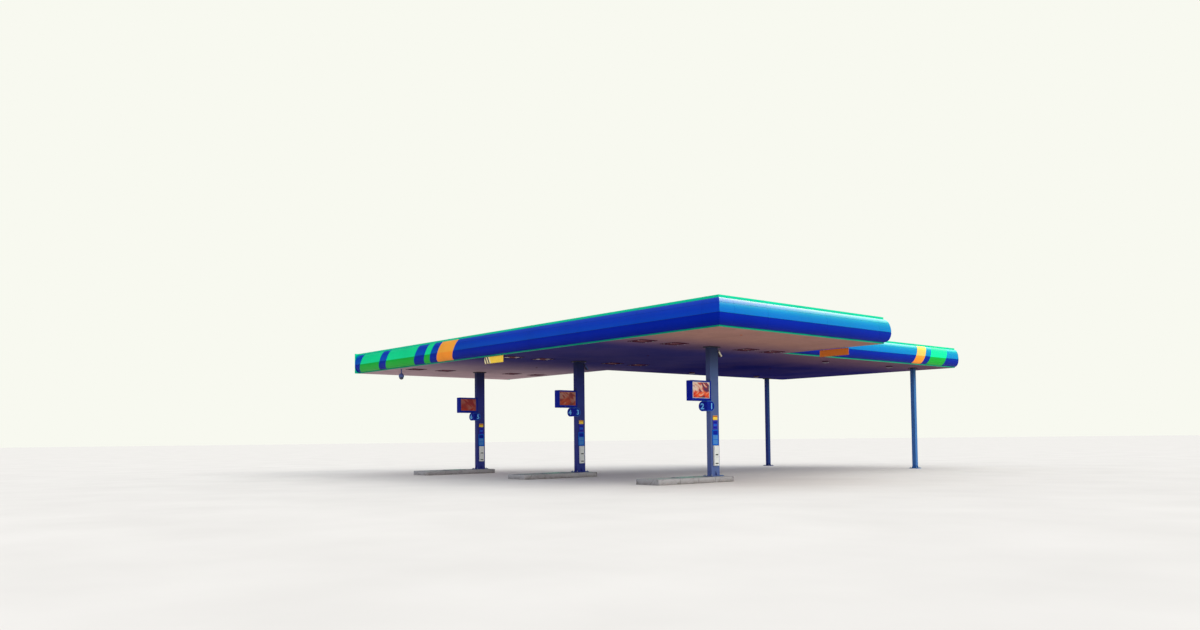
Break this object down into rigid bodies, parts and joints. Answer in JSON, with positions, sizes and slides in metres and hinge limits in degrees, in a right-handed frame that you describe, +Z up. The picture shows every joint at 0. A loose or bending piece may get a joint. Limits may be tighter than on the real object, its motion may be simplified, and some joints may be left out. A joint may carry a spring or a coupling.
{
  "type": "filling station canopy",
  "caption": "Filling station canopy with a glossy rounded blue fascia, green trims, a row of columns on pump islands and a link roof on posts.",
  "frame": {"origin": "centre of the bounding box's underside, at ground level", "axes": "+X along the main roof's long side towards its right end, -Y towards the front fascia, +Z up"},
  "size_m": [24.62, 23.42, 6.1],
  "materials": {
    "concrete": "cast, worn",
    "column_paint": "satin",
    "post_paint": "satin",
    "dark_paint": "satin",
    "steelwork": "matt primer",
    "zinc": "galvanised",
    "roof_sheet": "weathered",
    "soffit_paint": "satin, grimy",
    "light_metal": "satin",
    "lamp_glass": "frosted",
    "lamp_plastic": "satin",
    "fascia_blue": "gloss",
    "trim_green": "gloss",
    "sign_blue": "gloss",
    "sign_white": "gloss",
    "sign_yellow": "satin",
    "camera_shell": "satin"
  },
  "bodies": {
    "root": {"island_1": "concrete", "island_2": "concrete", "island_3": "concrete", "column_1": "column_paint", "column_2": "column_paint", "column_3": "column_paint", "link_posts": "post_paint", "soffit_collars": "dark_paint", "cross_girders": "steelwork", "edge_channels": "steelwork", "main_purlins": "zinc", "link_girders": "steelwork", "link_edge_channels": "steelwork", "link_purlins": "zinc", "main_fascia_frame": "zinc", "link_fascia_frame": "zinc", "roof_sheet_front": "roof_sheet", "roof_sheet_rear": "roof_sheet", "link_roof_sheet": "roof_sheet", "valley_gutter": "zinc", "rear_gutter": "zinc", "ridge_flashing": "roof_sheet", "parapet_lining": "zinc", "main_soffit": "soffit_paint", "link_soffit": "soffit_paint", "soffit_lights": "light_metal", "light_glasses": "lamp_glass", "bulkhead_lights": "lamp_plastic", "fascia_front": "fascia_blue", "fascia_right": "fascia_blue", "fascia_rear_right": "fascia_blue", "fascia_rear_left": "fascia_blue", "fascia_left": "fascia_blue", "link_fascia_right": "fascia_blue", "link_fascia_left": "fascia_blue", "link_fascia_rear": "fascia_blue", "top_trim": "trim_green", "bottom_trim": "trim_green", "end_plates": "trim_green", "light_boxes": "sign_blue", "number_discs": "sign_blue", "notice_boards": "sign_white", "height_signs": "sign_yellow", "dome_camera": "camera_shell", "column_cameras": "camera_shell"}
  },
  "joints": []
}
